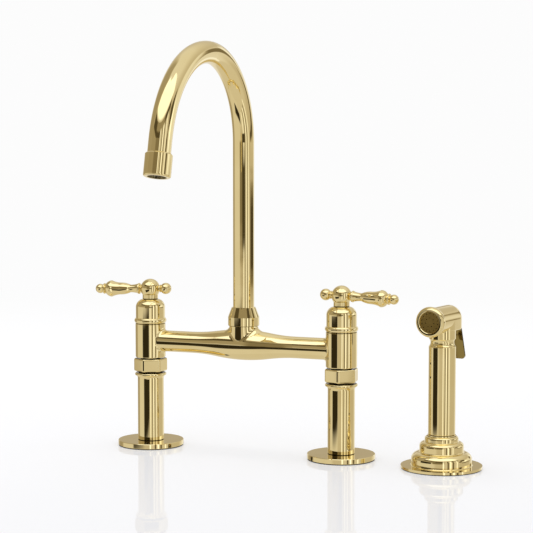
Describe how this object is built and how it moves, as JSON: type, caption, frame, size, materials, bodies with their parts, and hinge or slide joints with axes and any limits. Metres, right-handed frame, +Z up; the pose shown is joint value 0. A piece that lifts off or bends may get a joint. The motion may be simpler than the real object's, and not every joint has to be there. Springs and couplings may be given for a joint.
{
  "type": "bridge kitchen faucet",
  "caption": "Bridge kitchen faucet in polished brass with a swivelling gooseneck spout, turned lever handles on deck posts, and a matching hand spray in a stepped holder.",
  "frame": {"origin": "on the deck surface, midway between the two posts", "axes": "+Z up, square to the deck; +X from the hot to the cold post; -Y towards the person at the sink"},
  "size_m": [0.4014, 0.2364, 0.4573],
  "materials": {
    "polished_brass": "polished",
    "raw_brass": "machined",
    "face_plate_brass": "satin, drilled",
    "stainless_steel": "satin",
    "black_rubber": "matte",
    "fibre_washer": "matte fibre",
    "white_ceramic": "ground ceramic",
    "black_plastic": "moulded",
    "white_plastic": "low friction plastic"
  },
  "bodies": {
    "deck_set": {"bridge_body": "polished_brass", "shank_rubber_washers": "black_rubber", "shank_steel_washers": "stainless_steel", "shank_lock_nuts": "raw_brass", "spout_nut": "polished_brass", "spout_glide_ring": "white_plastic", "diverter_body": "raw_brass", "diverter_spring": "stainless_steel", "spray_base": "polished_brass", "spray_base_liner": "black_plastic", "spray_base_gasket": "black_rubber", "spray_base_nut": "raw_brass", "hot_union_nut": "polished_brass", "hot_union_washer": "fibre_washer", "hot_post": "polished_brass", "hot_flange": "polished_brass", "hot_deck_gasket": "black_rubber", "hot_shank": "raw_brass", "hot_bonnet": "polished_brass", "hot_cartridge_body": "raw_brass", "hot_fixed_disc": "white_ceramic", "hot_seat_seal": "black_rubber", "cold_union_nut": "polished_brass", "cold_union_washer": "fibre_washer", "cold_post": "polished_brass", "cold_flange": "polished_brass", "cold_deck_gasket": "black_rubber", "cold_shank": "raw_brass", "cold_bonnet": "polished_brass", "cold_cartridge_body": "raw_brass", "cold_fixed_disc": "white_ceramic", "cold_seat_seal": "black_rubber"},
    "spout": {"spout_tube": "polished_brass", "spout_spigot": "polished_brass", "spout_o_rings": "black_rubber", "aerator_housing": "polished_brass", "aerator_insert": "black_plastic", "aerator_washer": "black_rubber"},
    "diverter": {"diverter_piston": "raw_brass"},
    "wand": {"spray_grip": "polished_brass", "spray_head": "polished_brass", "spray_face_ring": "polished_brass", "spray_face_plate": "face_plate_brass", "spray_hose_inlet": "black_plastic", "spray_valve_spring": "stainless_steel", "trigger_pin": "stainless_steel"},
    "trigger": {"spray_trigger": "polished_brass"},
    "plunger": {"spray_plunger": "raw_brass"},
    "hot_handle": {"hot_lever_hub": "polished_brass", "hot_lever_arm": "polished_brass", "hot_finial": "polished_brass", "hot_spindle": "raw_brass", "hot_moving_disc": "white_ceramic", "hot_grub_screw": "stainless_steel"},
    "cold_handle": {"cold_lever_hub": "polished_brass", "cold_lever_arm": "polished_brass", "cold_finial": "polished_brass", "cold_spindle": "raw_brass", "cold_moving_disc": "white_ceramic", "cold_grub_screw": "stainless_steel"}
  },
  "joints": [
    {"name": "hot_turn", "type": "hinge", "parent": "deck_set", "child": "hot_handle", "pos_m": [-0.1016, 0, 0.1577], "axis": [0, 0, 1], "range_deg": [0, 90]},
    {"name": "cold_turn", "type": "hinge", "parent": "deck_set", "child": "cold_handle", "pos_m": [0.1016, 0, 0.1577], "axis": [0, 0, -1], "range_deg": [0, 90]},
    {"name": "spout_swivel", "type": "hinge", "parent": "deck_set", "child": "spout", "pos_m": [0, 0, 0.13], "axis": [0, 0, 1], "continuous": true},
    {"name": "diverter_slide", "type": "slide", "parent": "deck_set", "child": "diverter", "axis": [0, 0, -1], "range_m": [0, 0.003], "stiffness_N_per_m": 300, "springref_m": -0.003, "deforming": ["diverter_spring"]},
    {"name": "wand_lift", "type": "slide", "parent": "deck_set", "child": "wand", "axis": [0, 0, 1], "range_m": [0, 0.1]},
    {"name": "trigger_press", "type": "hinge", "parent": "wand", "child": "trigger", "pos_m": [0.20584, 0.01282, 0.137], "axis": [-0.9903, 0.1392, 0], "range_deg": [0, 12], "stiffness_Nm_per_rad": 0.4, "springref_deg": -5.73},
    {"name": "plunger_slide", "type": "slide", "parent": "wand", "child": "plunger", "axis": [-0.1392, -0.9903, 0], "range_m": [0, 0.0023], "deforming": ["spray_valve_spring"]}
  ],
  "couplings": [
    {"joint": "plunger_slide", "follows": "trigger_press", "m_per_rad": 0.0105}
  ]
}
